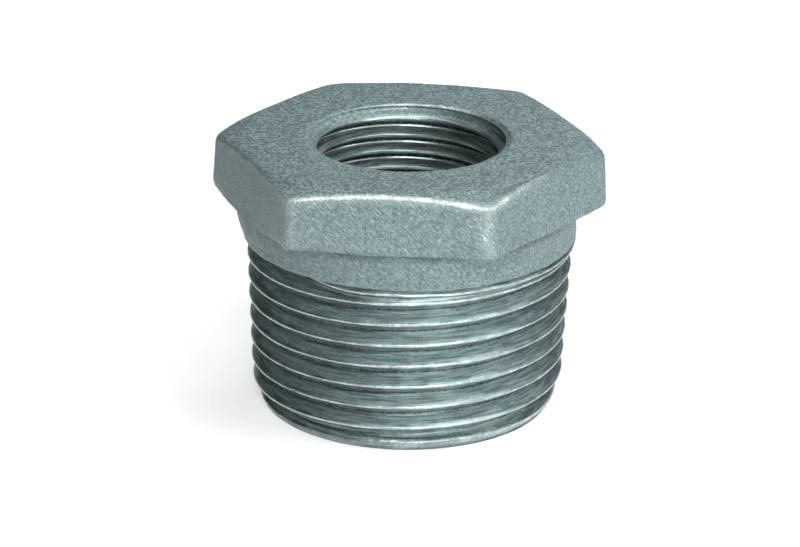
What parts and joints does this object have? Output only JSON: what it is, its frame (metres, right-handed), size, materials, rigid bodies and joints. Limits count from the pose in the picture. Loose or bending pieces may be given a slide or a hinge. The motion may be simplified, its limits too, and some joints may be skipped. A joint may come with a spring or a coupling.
{
  "type": "hex bushing",
  "caption": "Hexagon reducing bushing with a taper pipe thread outside and a smaller parallel pipe thread inside, for stepping a pipe port down.",
  "frame": {"origin": "centre of the small threaded end's face, on the axis, where the part stands", "axes": "+Z along the axis from the small end to the hexagon, X through two corners of the hexagon, Y square to two of its flats"},
  "size_m": [0.041, 0.036, 0.0286],
  "materials": {
    "galvanised_iron": "hot-dip galvanised, rough as cast on hexagon and collar, cut and bright on the threads"
  },
  "bodies": {
    "root": {"hex_bushing": "galvanised_iron"}
  },
  "joints": []
}
